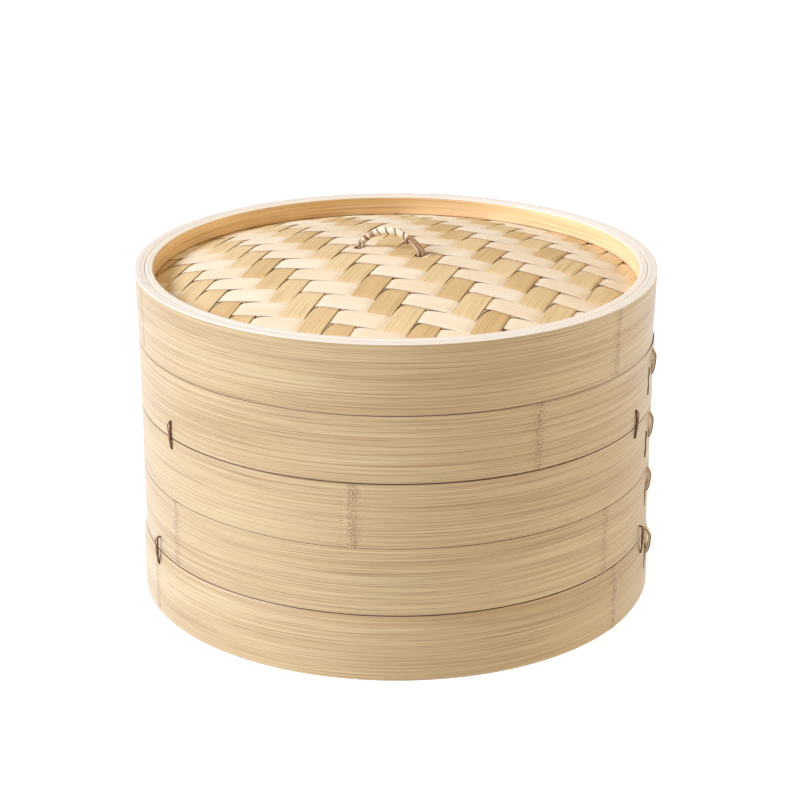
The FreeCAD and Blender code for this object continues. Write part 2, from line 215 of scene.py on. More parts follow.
def box_mm(node):
    """The two corners of a CAD node's box, in millimetres."""
    low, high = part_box(node)
    return np.array(low) / MM, np.array(high) / MM


class Shell:
    """Gathers swept shapes into one mesh, with the attributes that its material reads.

    grain holds millimetres along, across and through the fibres. mark holds the distance from a bamboo
    node, a shade of its own for each strip, and the distance from a cut edge. On a wound ring its last
    two are the distances from the rim and from the joint with the next ring, and on a woven strip its
    first is how far inside the painted shade of a dark corner the point lies.
    """

    def __init__(self):
        self.points = []
        self.grain = []
        self.mark = []
        self.faces = []
        self.total = 0

    def sweep(self, sections, grain, mark, closed=False):
        """Adds a tube through rows of points, with flat ends unless it is closed on itself."""
        rows, columns = sections.shape[:2]
        last = rows if closed else rows - 1
        row, column = np.meshgrid(np.arange(last), np.arange(columns), indexing="ij")
        next_row = (row + 1) % rows
        next_column = (column + 1) % columns
        corners = [
            row * columns + column,
            row * columns + next_column,
            next_row * columns + next_column,
            next_row * columns + column,
        ]
        quads = np.stack(corners, axis=-1).reshape(-1, 4) + self.total
        self.faces.extend(quads.tolist())
        if not closed:
            first = self.total
            end = self.total + (rows - 1) * columns
            self.faces.append(list(range(first, first + columns)))
            self.faces.append(list(range(end + columns - 1, end - 1, -1)))
        self.points.append(sections.reshape(-1, 3))
        self.grain.append(np.broadcast_to(grain, sections.shape).reshape(-1, 3))
        self.mark.append(np.broadcast_to(mark, sections.shape).reshape(-1, 3))
        self.total += rows * columns

    def make(self, name, material, sharp=40):
        """Turns everything gathered into an object in the scene."""
        mesh = bpy.data.meshes.new(name)
        mesh.from_pydata((np.concatenate(self.points) * MM).tolist(), [], self.faces)
        for key, values in (("grain", self.grain), ("mark", self.mark)):
            layer = mesh.attributes.new(key, "FLOAT_VECTOR", "POINT")
            layer.data.foreach_set("vector", np.concatenate(values).astype(np.float32).ravel())
        tidy = bmesh.new()
        tidy.from_mesh(mesh)
        bmesh.ops.recalc_face_normals(tidy, faces=tidy.faces)
        tidy.to_mesh(mesh)
        tidy.free()
        mesh.shade_smooth()
        mesh.set_sharp_from_angle(angle=math.radians(sharp))
        mesh.materials.append(material)
        piece = bpy.data.objects.new(name, mesh)
        bpy.context.scene.collection.objects.link(piece)
        return piece


def belongs(piece, body, slot, *nodes):
    """Fixes a piece to its body and hides the CAD nodes that it stands for. The slot is not used."""
    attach(piece, body)
    if nodes:
        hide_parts(*nodes)


# ------------ Materials ------------

class Look:
    """A material under construction, with short names for the nodes that it is built from."""

    def __init__(self, name):
        self.material = bpy.data.materials.new(name)
        self.material.use_nodes = True
        self.tree = self.material.node_tree
        self.shader = self.tree.nodes["Principled BSDF"]

    def feed(self, socket, value):
        """Links a socket to another one, or sets it to a plain value."""
        if isinstance(value, bpy.types.NodeSocket):
            self.tree.links.new(value, socket)
        else:
            socket.default_value = value

    def made(self, kind, inputs, output=0, **settings):
        """Makes a node with these settings and inputs, and returns one of its outputs."""
        node = self.tree.nodes.new(kind)
        for key, value in settings.items():
            setattr(node, key, value)
        for key, value in inputs.items():
            self.feed(node.inputs[key], value)
        return node.outputs[output]

    def attribute(self, name):
        """The grain or the mark that a Shell's mesh carries."""
        return self.made("ShaderNodeAttribute", {}, "Vector", attribute_name=name)

    def placed(self, angle):
        """Millimetres along, across and through a piece whose fibres run at this angle."""
        return self.made("ShaderNodeMapping", {
            "Vector": self.made("ShaderNodeTexCoord", {}, "Object"),
            "Rotation": (0, 0, math.radians(angle)),
            "Scale": (MM, MM, MM),
        }, vector_type="TEXTURE")

    def part(self, vector, axis):
        """A vector's X, Y or Z."""
        return self.made("ShaderNodeSeparateXYZ", {0: vector}, axis)

    def noise(self, vector, lengths, detail=2.0, roughness=0.5, shift=0.0):
        """Noise whose blots have about these lengths, in the vector's own units."""
        scaled = self.made("ShaderNodeMapping", {
            "Vector": vector,
            "Scale": tuple(1 / length for length in lengths),
            "Location": (shift, shift, shift),
        })
        settings = {"Vector": scaled, "Scale": 1.0, "Detail": detail, "Roughness": roughness}
        return self.made("ShaderNodeTexNoise", settings, "Fac")

    def math(self, operation, first, second):
        """One step of arithmetic with two sockets or values."""
        return self.made("ShaderNodeMath", {0: first, 1: second}, operation=operation)

    def blend(self, first, first_weight, second, second_weight):
        """The sum of two values, each times its weight."""
        return self.math("ADD", self.math("MULTIPLY", first, first_weight),
                         self.math("MULTIPLY", second, second_weight))

    def span(self, value, low, high, to_low=0.0, to_high=1.0):
        """The value carried from one range to another, smoothly, and held at its ends."""
        ends = {"From Min": low, "From Max": high, "To Min": to_low, "To Max": to_high}
        return self.made("ShaderNodeMapRange", {"Value": value, **ends}, "Result",
                         interpolation_type="SMOOTHSTEP")

    def mix(self, factor, first, second):
        """The first colour, changed to the second as the factor goes from 0 to 1."""
        return self.made("ShaderNodeMix", {0: factor, 6: first, 7: second}, 2, data_type="RGBA")

    def bump(self, height, depth):
        """Adds a relief this many millimetres deep on top of the ones made before."""
        normal = self.shader.inputs["Normal"]
        inputs = {"Strength": 1.0, "Distance": depth * MM, "Height": height}
        if normal.is_linked:
            inputs["Normal"] = normal.links[0].from_socket
        self.feed(normal, self.made("ShaderNodeBump", inputs, "Normal"))

    def finish(self, colour, roughness, specular=0.35):
        """The finished material, with this colour and gloss."""
        self.feed(self.shader.inputs["Base Color"], colour)
        self.feed(self.shader.inputs["Roughness"], roughness)
        self.shader.inputs["Specular IOR Level"].default_value = specular
        return self.material


def rgb(red, green, blue):
    """A colour given as it looks on screen, 0 to 255."""
    shares = [value / 255 for value in (red, green, blue)]
    linear = [share / 12.92 if share <= 0.04045 else ((share + 0.055) / 1.055) ** 2.4
              for share in shares]
    return (*linear, 1.0)


def bamboo(name, pale, deep, fibre_colour, node_strength=0.0, fleck=0.35, joint_shade_height=0.4):
    """Planed bamboo: long fine fibres, short brown flecks, and the dotted rings of its nodes.

    Its cut rim is painted paler, partly for its pale cut fibre and partly as a painted highlight on its
    top, and it carries painted shade up to a given height above the joint that it stands on.
    """
    look = Look(name)
    grain = look.attribute("grain")
    patches = look.noise(grain, (160, 14, 14), detail=1)
    fibres = look.noise(grain, (110, 0.55, 0.55), detail=2, roughness=0.6, shift=11)
    hairs = look.noise(grain, (60, 0.34, 0.34), detail=1, shift=37)
    flecks = look.noise(grain, (7, 0.42, 0.42), detail=1, shift=71)

    tone = look.blend(patches, 0.35, fibres, 1.2)
    colour = look.mix(look.span(tone, 0.55, 1.02), pale, deep)
    colour = look.mix(look.span(hairs, 0.52, 0.72, 0.0, 0.55), colour, fibre_colour)
    colour = look.mix(look.span(flecks, 0.68, 0.80, 0.0, fleck), colour, fibre_colour)
    look.bump(look.blend(fibres, 1.0, hairs, 0.5), 0.05)
    if node_strength:
        colour = with_nodes(look, grain, colour, fibre_colour, node_strength)

    edges = look.attribute("mark")
    # The open rim is painted paler: partly its pale cut fibre, partly a painted highlight where its top
    # faces the light.
    rim = look.span(look.part(edges, "Y"), 0.15, 0.7, 0.85, 0.0)
    colour = look.mix(rim, colour, rgb(246, 227, 194))
    # Painted shade in the crevice of each joint with the next ring, fading out over a given height.
    uneven = look.math("MULTIPLY", look.noise(grain, (14, 30, 30), shift=23), joint_shade_height / 2)
    from_joint = look.math("ADD", look.part(edges, "Z"), uneven)
    joint = look.span(from_joint, joint_shade_height / 4, joint_shade_height, 0.9, 0.0)
    colour = look.mix(joint, colour, rgb(112, 76, 40))
    look.shader.inputs["Coat Weight"].default_value = 0.25
    look.shader.inputs["Coat Roughness"].default_value = 0.32
    look.shader.inputs["Sheen Weight"].default_value = 0.15
    look.shader.inputs["Sheen Roughness"].default_value = 0.45
    return look.finish(colour, look.span(fibres, 0.3, 0.8, 0.40, 0.56), specular=0.5)


def with_nodes(look, grain, colour, dot_colour, strength):
    """Adds a ring of dots at each bamboo node, and fainter specks to both sides of it."""
    away = look.math("ABSOLUTE", look.part(look.attribute("mark"), "X"), 0.0)
    wander = look.noise(grain, (3, 2.2, 3), detail=2, shift=5)
    away = look.math("ADD", away, look.math("MULTIPLY", look.math("SUBTRACT", wander, 0.5), 4.0))
    ring = look.span(away, 0.8, 3.6, 1.0, 0.0)
    halo = look.span(away, 3.0, 9.0, 1.0, 0.0)
    dots = look.span(look.noise(grain, (0.85, 0.62, 0.62), detail=0, shift=91), 0.55, 0.66)
    specks = look.span(look.noise(grain, (1.8, 0.5, 0.5), detail=0, shift=53), 0.62, 0.74, 0.0, 0.55)
    spots = look.math("MAXIMUM", look.math("MULTIPLY", halo, specks), look.math("MULTIPLY", ring, dots))
    look.bump(look.math("MULTIPLY", look.math("SUBTRACT", 1.0, dots), ring), 0.12)
    return look.mix(look.math("MULTIPLY", spots, strength), colour, dot_colour)


def woven_bamboo(name, pale, deep, fibre_colour, line_strength, side_shade):
    """A thin split strip: its own tone, fine lines, painted shade along its cut edges, and painted shade
    in each dark corner where it comes out from under another strip."""
    look = Look(name)
    grain = look.attribute("grain")
    mark = look.attribute("mark")
    own_tone = look.part(mark, "Y")
    patches = look.noise(grain, (38, 9, 2), detail=2)
    lines = look.noise(grain, (90, 0.42, 3), detail=2, roughness=0.6, shift=17)
    streaks = look.noise(grain, (60, 0.8, 3), detail=1, shift=43)

    tone = look.math("ADD", own_tone, look.math("SUBTRACT", patches, 0.5))
    colour = look.mix(look.span(tone, 0.0, 1.0), pale, deep)
    colour = look.mix(look.span(lines, 0.48, 0.72, 0.0, line_strength), colour, fibre_colour)
    dark_streaks = look.span(streaks, 0.70, 0.78, 0.0, min(1.0, 2 * line_strength))
    colour = look.mix(dark_streaks, colour, fibre_colour)
    # Painted shade along the strip's cut edges, where the gaps between strips lie in shadow.
    side = look.span(look.part(mark, "Z"), 0.0, 0.35, side_shade, 0.0)
    colour = look.mix(side, colour, rgb(128, 90, 50))
    # Painted shade in the dark corner where the strip comes out from under another.
    hollow_shade = look.span(look.part(mark, "X"), 0.05, 0.35)
    colour = look.mix(hollow_shade, colour, rgb(58, 32, 14))
    look.bump(lines, 0.04)
    return look.finish(colour, look.span(lines, 0.3, 0.7, 0.40, 0.56))


def cane(name, pale, deep, seam_colour=None):
    """Split rattan: streaks along it, blotches, and for the wrapping a dark seam at each turn."""
    look = Look(name)
    grain = look.attribute("grain")
    mark = look.attribute("mark")
    blotches = look.noise(grain, (4, 1.5, 1.5), detail=2)
    streaks = look.noise(grain, (9, 0.22, 0.22), detail=2, roughness=0.6, shift=29)
    tone = look.blend(blotches, 0.7, streaks, 0.7)
    tone = look.math("ADD", tone, look.math("SUBTRACT", look.part(mark, "Y"), 0.5))
    colour = look.mix(look.span(tone, 0.35, 1.05), pale, deep)
    if seam_colour:
        seam = look.span(look.part(mark, "Z"), 0.02, 0.16, 0.9, 0.0)
        colour = look.mix(seam, colour, seam_colour)
    look.bump(streaks, 0.06)
    return look.finish(colour, look.span(streaks, 0.3, 0.7, 0.48, 0.66), specular=0.3)


def timber(name, angle, pale, deep, fibre_colour):
    """Plain split bamboo for a CAD piece whose fibres run level, at this angle."""
    look = Look(name)
    grain = look.placed(angle)
    patches = look.noise(grain, (60, 8, 8), detail=2)
    fibres = look.noise(grain, (50, 0.8, 0.8), detail=3, roughness=0.65, shift=11)
    flecks = look.noise(grain, (6, 0.45, 0.45), detail=1, shift=71)
    tone = look.blend(patches, 0.8, fibres, 0.9)
    colour = look.mix(look.span(tone, 0.55, 1.2), pale, deep)
    colour = look.mix(look.span(flecks, 0.66, 0.78, 0.0, 0.5), colour, fibre_colour)
    look.bump(fibres, 0.08)
    return look.finish(colour, look.span(fibres, 0.3, 0.8, 0.46, 0.66))


BAND = bamboo("bamboo_band", rgb(202, 173, 119), rgb(176, 141, 87), rgb(128, 86, 44),
              node_strength=0.8)
HOOP = bamboo("bamboo_hoop", rgb(246, 208, 148), rgb(232, 186, 114), rgb(168, 118, 60), fleck=0.2,
              joint_shade_height=1.2)
PALE_STRIP = woven_bamboo("bamboo_weave_pale", rgb(244, 221, 179), rgb(236, 205, 157),
                          rgb(202, 162, 112), 0.25, 0.35)
TAN_STRIP = woven_bamboo("bamboo_weave_tan", rgb(232, 197, 138), rgb(214, 172, 111),
                         rgb(158, 110, 60), 0.60, 0.45)
LINING = woven_bamboo("bamboo_lining", rgb(238, 208, 158), rgb(222, 186, 130),
                      rgb(170, 124, 72), 0.45, 0.70)
SLAT = bamboo("bamboo_slat", rgb(238, 212, 164), rgb(218, 184, 130), rgb(156, 110, 60),
              node_strength=0.8)
DARK_CANE = cane("cane_tie_dark", rgb(118, 74, 38), rgb(72, 40, 20))
BROWN_CANE = cane("cane_tie_brown", rgb(186, 138, 90), rgb(136, 92, 54))
PALE_CANE = cane("cane_tie_pale", rgb(236, 214, 176), rgb(206, 170, 122))
STRAND = cane("cane_strand", rgb(216, 182, 136), rgb(158, 112, 72))
WRAPPING = cane("cane_wrapping", rgb(232, 208, 162), rgb(148, 98, 62), rgb(70, 38, 20))


# ------------ Wound bands and hoops ------------

def outline(corners, spacing=3.5):
    """A closed outline of (radius, height) points. Each corner is (radius, height, rounding)."""
    places = np.array([corner[:2] for corner in corners], float)
    points = []
    for index, here in enumerate(places):
        size = corners[index][2]
        if not size:
            points.append(here)
            continue
        before = places[index - 1] - here
        after = places[(index + 1) % len(places)] - here
        start = here + before / np.linalg.norm(before) * size
        end = here + after / np.linalg.norm(after) * size
        for t in np.linspace(0, 1, 4):
            points.append((1 - t) ** 2 * start + 2 * t * (1 - t) * here + t ** 2 * end)
    full = []
    for index, point in enumerate(points):
        following = points[(index + 1) % len(points)]
        pieces = max(1, math.ceil(np.linalg.norm(following - point) / spacing))
        for t in np.arange(pieces) / pieces:
            full.append(point * (1 - t) + following * t)
    return np.array(full)


def layered_corners(inner, outer_low, outer_high, low, high, edge):
    """The section of a strip wound twice, with a fine groove between its turns at both edges."""
    middle = (inner + outer_low) / 2
    half = LAYER_GROOVE / 2
    depth = 1.5 * LAYER_GROOVE
    return [
        (outer_low, low, edge),
        (outer_high, high, edge),
        (middle + half, high, 0),
        (middle, high - depth, 0),
        (middle - half, high, 0),
        (inner, high, edge),
        (inner, low, edge),
        (middle - half, low, 0),
        (middle, low + depth, 0),
        (middle + half, low, 0),
    ]


def ripple(angle, height, chance, size):
    """A gentle unevenness that closes on itself round the basket."""
    total = 0.0
    for waves in range(2, 10):
        phase = chance.uniform(0, 2 * math.pi)
        slant = chance.uniform(-0.05, 0.05)
        total = total + np.sin(waves * angle + phase + slant * height) * chance.uniform(0.3, 1) / waves
    return total * size


def away_from_nodes(angle, nodes, radius):
    """How far round a ring its points lie from the nearest bamboo node."""
    away = np.full(angle.shape, FAR)
    for node in nodes:
        apart = (angle - math.radians(node) + math.pi) % (2 * math.pi) - math.pi
        away = np.where(np.abs(apart) * radius < np.abs(away), apart * radius, away)
    return away


def away_from_edges(radius, height, open_rim, joint_radius):
    """How far a ring's points lie from its open rim, and from its joints with the next rings.

    What lies beyond joint_radius stands out from the next ring, and so gets none of the joint's painted
    shade. Where both edges are joints, their flat faces carry that painted shade only near that radius.
    """
    from_rim = height.max() - height
    from_joint = height - height.min()
    if not open_rim:
        inside = np.maximum(min(radius.max(), joint_radius) - JOINT_SHADE_REACH - radius, 0)
        from_joint = np.minimum(from_joint, from_rim) + inside
        from_rim = np.full(from_rim.shape, 10.0)
    return from_rim, from_joint + np.maximum(radius - joint_radius, 0)


def wound_ring(name, corners, seam, material, seed, nodes=(), step=0.0, open_rim=True,
               joint_radius=FAR):
    """A ring swept from its section, with the bulges of its nodes and the step of its outer end."""
    chance = random.Random(seed)
    profile = outline(corners)
    radius = profile[None, :, 0]
    height = profile[None, :, 1]
    outer = radius.max()
    outward = smoothstep((radius - radius.min()) / (outer - radius.min()))
    turn = np.linspace(0, 2 * math.pi, RING_COLUMNS)[:, None]
    angle = turn + math.radians(seam)
    along = turn * outer

    away = away_from_nodes(angle, nodes, outer)
    recess = step * (1 - smoothstep(along / STRIP_END_LENGTH))
    if step:
        from_end = 2 * math.pi * outer - along
        recess = recess - STRIP_END_LIFT * (1 - smoothstep(from_end / STRIP_END_LENGTH))
    node_bulge = NODE_BULGE * np.exp(-(away / NODE_LENGTH) ** 2)
    swell = ripple(angle, height, chance, UNEVENNESS) + node_bulge - recess
    near_top = smoothstep((height - (height.max() - 4)) / 4)
    sag = (EDGE_SAG + ripple(angle, 0, chance, EDGE_UNEVENNESS)) * near_top
    real_radius = radius + outward * swell
    sections = stacked(np.sin(angle) * real_radius, -np.cos(angle) * real_radius, height - sag)

    grain = stacked(along + chance.uniform(0, 5000), height, radius)
    mark = stacked(away, *away_from_edges(radius, height, open_rim, joint_radius))
    shell = Shell()
    shell.sweep(sections, grain, mark)
    return shell.make(name, material)


def make_bands():
    """The five outer bands. The lid's is wider at its rim, and the lowest one below its shoulder."""
    common = box_mm("upper_tier_lower_band")[1][0]
    inner = common - BAND_THICKNESS
    for seed, (node, nodes) in enumerate(NODE_ANGLES.items(), start=1):
        low, high = box_mm(node)
        body = node.rsplit("_", 2)[0]
        is_lid = body == "lid"
        foot, top = (common, high[0]) if is_lid else (high[0], common)
        seam = LID_SEAM if is_lid else TIER_SEAM
        corners = layered_corners(inner, foot, top, low[2], high[2], BAND_EDGE)
        if not is_lid:
            corners.insert(1, (foot, high[2] - BAND_SHOULDER, SHOULDER_ROUNDING))
        ring = wound_ring(node + "_strip", corners, seam, BAND, seed, nodes, STRIP_END_STEP,
                          open_rim=is_lid, joint_radius=common)
        belongs(ring, body, "bamboo_band", node)


def make_hoops():
    """The inner hoops: the lid's two, each tier's wall with its spigot, and the support rings.

    Their seams lie at different angles.
    """
    outer = box_mm("lid_upper_hoop")[1][0]
    inner = outer - HOOP_THICKNESS
    for seed, node in enumerate(("lid_upper_hoop", "lid_lower_hoop"), start=20):
        low, high = box_mm(node)
        corners = layered_corners(inner, outer, outer, low[2], high[2], 0.4)
        ring = wound_ring(node + "_strip", corners, 200 + 9 * seed, HOOP, seed)
        belongs(ring, "lid", "bamboo_hoop", node)
    for seed, tier in enumerate(("lower_tier", "upper_tier"), start=30):
        low, high = box_mm(tier + "_wall")
        shoulder = high[2] - SPIGOT_HEIGHT
        neck = outer - SPIGOT_CLEARANCE
        corners = [
            (outer, low[2], 0.3),
            (outer, shoulder, 0.3),
            (neck, shoulder + 0.2, 0),
            (neck, high[2], 0.7),
            (inner, high[2], 0.5),
            (inner, low[2], 0.3),
        ]
        wall = wound_ring(tier + "_wall_strip", corners, 140 + 7 * seed, HOOP, seed)
        belongs(wall, tier, "bamboo_hoop", tier + "_wall")
        low, high = box_mm(tier + "_support_ring")
        corners = layered_corners(outer - LEDGE_THICKNESS, outer, outer, low[2], high[2], 0.4)
        ledge = wound_ring(tier + "_support_strip", corners, 120 + 9 * seed, HOOP, seed + 10)
        belongs(ledge, tier, "bamboo_hoop", tier + "_support_ring")


# ------------ Woven lid ------------

def dome_height(radius, edge, rise):
    """The top of a woven layer, which is flat where the hoops clamp it."""
    ball = (DOME_RADIUS ** 2 + rise ** 2) / (2 * rise)
    return edge + rise - ball + np.sqrt(ball ** 2 - np.minimum(radius, DOME_RADIUS) ** 2)


def over_and_under(along, is_over, period):
    """A strip's height, -1 to 1: it stays low until the strip over it ends, then rises."""
    cell = np.floor(along / period).astype(int)
    total = np.where(is_over(cell), 1.0, -1.0)
    rise_start, rise_end = -0.8, 3.4
    for side, edge in ((-1, cell * period), (1, (cell + 1) * period)):
        distance = np.abs(along - edge)
        neighbour = is_over(cell + side)
        here = is_over(cell)
        climbing = -1 + 2 * smoothstep((distance - rise_start) / (rise_end - rise_start))
        dipping = -1 + 2 * smoothstep((-distance - rise_start) / (rise_end - rise_start))
        total = np.where(here & ~neighbour, np.minimum(total, climbing), total)
        total = np.where(~here & neighbour, np.maximum(total, dipping), total)
    return total


def pinch(along, is_over, period, phase):
    """How much a strip is pinched, about 1 where it has just come out from under another."""
    cell = np.floor(along / period).astype(int)
    total = np.zeros_like(along)
    for start in (cell, cell + 1):
        comes_out = is_over(start) & ~is_over(start - 1)
        nearness = np.exp(-np.abs(along - start * period) / STRIP_PINCH_LENGTH)
        size = 0.85 + 0.35 * np.sin(7.3 * start + phase)
        total = np.where(comes_out, np.maximum(total, nearness * size), total)
    return total


def strip_section(width):
    """Offsets across and through a thin strip: a slightly rounded top and a flat bottom."""
    half = width / 2
    soft = 0.16
    inner = 0.7 * half
    across = [-half, soft - half, -inner, -half / 3, half / 3, inner, half - soft, half, half, -half]
    through = [-soft, 0, 0.02, 0.03, 0.03, 0.02, 0, -soft, -STRIP_THICKNESS, -STRIP_THICKNESS]
    edge = [0, 0.4, 2, 4, 4, 2, 0.4, 0, 0, 0]
    return np.array(across), np.array(through), np.array(edge)


def weave_strip(chance, origin, direction, side, span, period, is_over, surface, pinched):
    """One strip of the weave, cut to the lid's circle and draped over the dome, or None outside it.

    span is where its two edges lie along side. pinched says which of them is pinched, -1 or 1.
    """
    centre = origin @ side
    low = max(span[0], 1 - WEAVE_RADIUS - centre)
    high = min(span[1], WEAVE_RADIUS - 1 - centre)
    if high - low < 2:
        return None
    across, through, edge = strip_section(high - low)
    lean = chance.uniform(-0.006, 0.006)
    line = (low + high) / 2 + across
    reach = np.sqrt(WEAVE_RADIUS ** 2 - (line + centre) ** 2)
    middle = -(origin @ direction)
    rows = max(12, int(2 * reach.max() / 1.1))
    share = np.linspace(-1, 1, rows)[:, None]
    along = middle + share * reach[None, :]
    phase = chance.uniform(0, 2 * math.pi)
    drift = lean * along + 0.14 * np.sin(along / 23 + phase)
    from_edge = (high - low) / 2 - pinched * across
    pinching = pinch(along, is_over, period, phase)
    drift = drift - pinched * STRIP_PINCH * pinching * np.exp(-from_edge)
    # The painted shade of that dark corner, on the pinched edge where the strip comes out from under
    # another.
    hollow_shade = STRIP_HOLLOW_SHADE * pinching - from_edge
    plan = origin + along[..., None] * direction + (line + drift)[..., None] * side
    radius = np.hypot(plan[..., 0], plan[..., 1])
    wave = over_and_under(along, is_over, period)
    top = surface(radius) - STRIP_SWING + wave * STRIP_SWING + through
    sections = np.concatenate([plan, top[..., None]], axis=-1)
    shift = chance.uniform(0, 5000)
    tone = chance.uniform(0.15, 0.85)
    shell = Shell()
    shell.sweep(sections, stacked(along + shift, across, through), stacked(hollow_shade, tone, edge))
    return shell


def woven_layer(seed, corner, column_step, row_step, pattern, surface):
    """The strips of a woven layer: a list of shells for its columns, and one for its rows."""
    chance = random.Random(seed)
    corner = np.array(corner)
    column_step = np.array(column_step)
    row_step = np.array(row_step)
    layer = []
    for own_step, cross_step, columns in ((column_step, row_step, True), (row_step, column_step, False)):
        direction = cross_step / np.linalg.norm(cross_step)
        side = np.array([-direction[1], direction[0]])
        pitch = own_step @ side
        skew = own_step @ direction
        period = np.linalg.norm(cross_step)
        pinched = PINCHED_SIDE[columns]
        reach = int(WEAVE_RADIUS / abs(pitch)) + 4
        strips = []
        for number in range(-reach, reach + 1):
            half = (abs(pitch) - STRIP_GAP - chance.uniform(-0.15, 0.35)) / 2
            middle = (number + 0.5) * pitch
            span = (middle - half, middle + half)

            def is_over(cell, number=number, columns=columns):
                return pattern(number, cell) if columns else ~pattern(cell, number)

            start = corner + (number + 0.5) * skew * direction
            strip = weave_strip(chance, start, direction, side, span, period, is_over, surface, pinched)
            if strip:
                strips.append(strip)
        layer.append(strips)
    return layer


def twill(column, row):
    """Whether the column's strip lies over the row's: over two, under two."""
    return np.isin((row - column) % 4, (0, 1))


def plain(column, row):
    """The same for a plain weave: over one, under one."""
    return (row + column) % 2 == 0


def joined(shells):
    """One shell with everything that is in these."""
    whole = Shell()
    for shell in shells:
        whole.faces.extend([index + whole.total for index in face] for face in shell.faces)
        whole.points.extend(shell.points)
        whole.grain.extend(shell.grain)
        whole.mark.extend(shell.mark)
        whole.total += shell.total
    return whole


def slot_cutter():
    """Two posts of rounded oblong section, where the handle's legs pass through the weave."""
    across, along = squared_circle(32, 0.5)
    oblong = (across[:, None] * SLOT_HALF_WIDTH * HINGE_LINE
              + along[:, None] * SLOT_HALF_LENGTH * HINGE_SIDE)
    shell = Shell()
    for foot in FEET:
        rows = [foot + oblong + (0, 0, height) for height in (-1.0, 9.0)]
        shell.sweep(np.array(rows), np.zeros(3), np.zeros(3))
    return shell.make("slot_cutter", TAN_STRIP)


def cut_slots(piece, cutter):
    """Cuts the slots into one strip."""
    cut = piece.modifiers.new("slots", "BOOLEAN")
    cut.operation = "DIFFERENCE"
    cut.solver = "EXACT"
    cut.object = cutter
    with bpy.context.temp_override(object=piece, active_object=piece):
        bpy.ops.object.modifier_apply(modifier=cut.name)


def is_near_slot(strip):
    """Whether a strip has points that the slots' cutter could reach."""
    points = np.concatenate(strip.points)[:, :2]
    gaps = [np.hypot(*(points - foot[:2]).T).min() for foot in FEET]
    return min(gaps) < SLOT_HALF_LENGTH + 4


def make_outer_strips(name, strips, material, cutter):
    """The strips that run one way. Those by the handle's feet are pieces of their own, cut open."""
    near = [strip for strip in strips if is_near_slot(strip)]
    whole = [strip for strip in strips if not is_near_slot(strip)]
    pieces = [joined(whole).make(name, material)]
    for number, strip in enumerate(near, start=1):
        piece = strip.make("%s_slotted_%d" % (name, number), material)
        cut_slots(piece, cutter)
        pieces.append(piece)
    for piece in pieces:
        belongs(piece, "lid", "bamboo_weave", "lid_outer_weave")


def make_weave():
    """The outer twill and the plain lining under it."""
    edge = box_mm("lid_outer_weave")[1][2] - DOME_RISE

    def outer_surface(radius):
        return dome_height(radius, edge, DOME_RISE)

    def lining_surface(radius):
        return dome_height(radius, edge - LAYER_THICKNESS, LINING_RISE)

    cutter = slot_cutter()
    tan, pale = woven_layer(5, WEAVE_CORNER, COLUMN_STEP, ROW_STEP, twill, outer_surface)
    make_outer_strips("lid_weave_tan", tan, TAN_STRIP, cutter)
    make_outer_strips("lid_weave_pale", pale, PALE_STRIP, cutter)
    bpy.data.objects.remove(cutter)
    lining = woven_layer(9, LINING_CORNER, LINING_COLUMN_STEP, LINING_ROW_STEP, plain, lining_surface)
    for way, strips in zip(("columns", "rows"), lining):
        piece = joined(strips).make("lid_lining_" + way, LINING)
        belongs(piece, "lid", "bamboo_lining", "lid_inner_weave")


# ------------ Cane: ties, lacing and handle ------------

def along_path(path, closed=False):
    """Distances along a path, and the unit vectors that point along it."""
    if closed:
        ahead = np.roll(path, -1, axis=0)
        behind = np.roll(path, 1, axis=0)
    else:
        ahead = np.concatenate([path[1:], path[-1:]])
        behind = np.concatenate([path[:1], path[:-1]])
    tangent = ahead - behind
    tangent /= np.linalg.norm(tangent, axis=1)[:, None]
    steps = np.linalg.norm(np.diff(path, axis=0), axis=1)
    return np.concatenate([[0], np.cumsum(steps)]), tangent


def smooth_path(points, spacing=0.35):
    """A smooth open curve through these points, as evenly spaced points."""
    points = np.array(points, float)
    padded = np.concatenate([[2 * points[0] - points[1]], points, [2 * points[-1] - points[-2]]])
    curve = []
    for index in range(1, len(padded) - 2):
        a, b, c, d = padded[index - 1:index + 3]
        pieces = max(2, int(np.linalg.norm(c - b) / spacing))
        for t in np.arange(pieces) / pieces:
            curve.append(0.5 * (2 * b + (c - a) * t + (2 * a - 5 * b + 4 * c - d) * t ** 2
                                + (3 * b - a - 3 * c + d) * t ** 3))
    curve.append(padded[-2])
    return np.array(curve)


def cane_strip(shell, path, side, size, tone, closed=False):
    """A cane of this width and thickness along a path. side points across its width."""
    distance, tangent = along_path(path, closed)
    side = np.broadcast_to(side, path.shape)
    through = np.cross(tangent, side)
    through /= np.linalg.norm(through, axis=1)[:, None]
    across = np.cross(through, tangent)
    flat, deep = squared_circle(14, 0.7)
    flat = flat * size[0] / 2
    deep = deep * size[1] / 2
    share = np.ones(len(path))
    if not closed:
        from_end = np.minimum(distance, distance[-1] - distance)
        share = 0.55 + 0.45 * smoothstep(from_end / 1.2)
    offset = flat[None, :, None] * across[:, None] + deep[None, :, None] * through[:, None]
    sections = path[:, None] + offset * share[:, None, None]
    grain = stacked(distance[:, None] + 100 * tone, flat, deep)
    shell.sweep(sections, grain, stacked(FAR, tone, 1.0), closed)


def wall_cane(shell, radius, points, angle, size, tone):
    """A cane through points given as (outwards from the radius, sideways, up), at this angle."""
    out = around(angle)
    side = np.array([-out[1], out[0], 0])
    points = np.array(points, float) + (radius, 0, 0)
    path = points[:, :1] * out + points[:, 1:2] * side + points[:, 2:] * np.array([0, 0, 1])
    cane_strip(shell, smooth_path(path), side, size, tone)


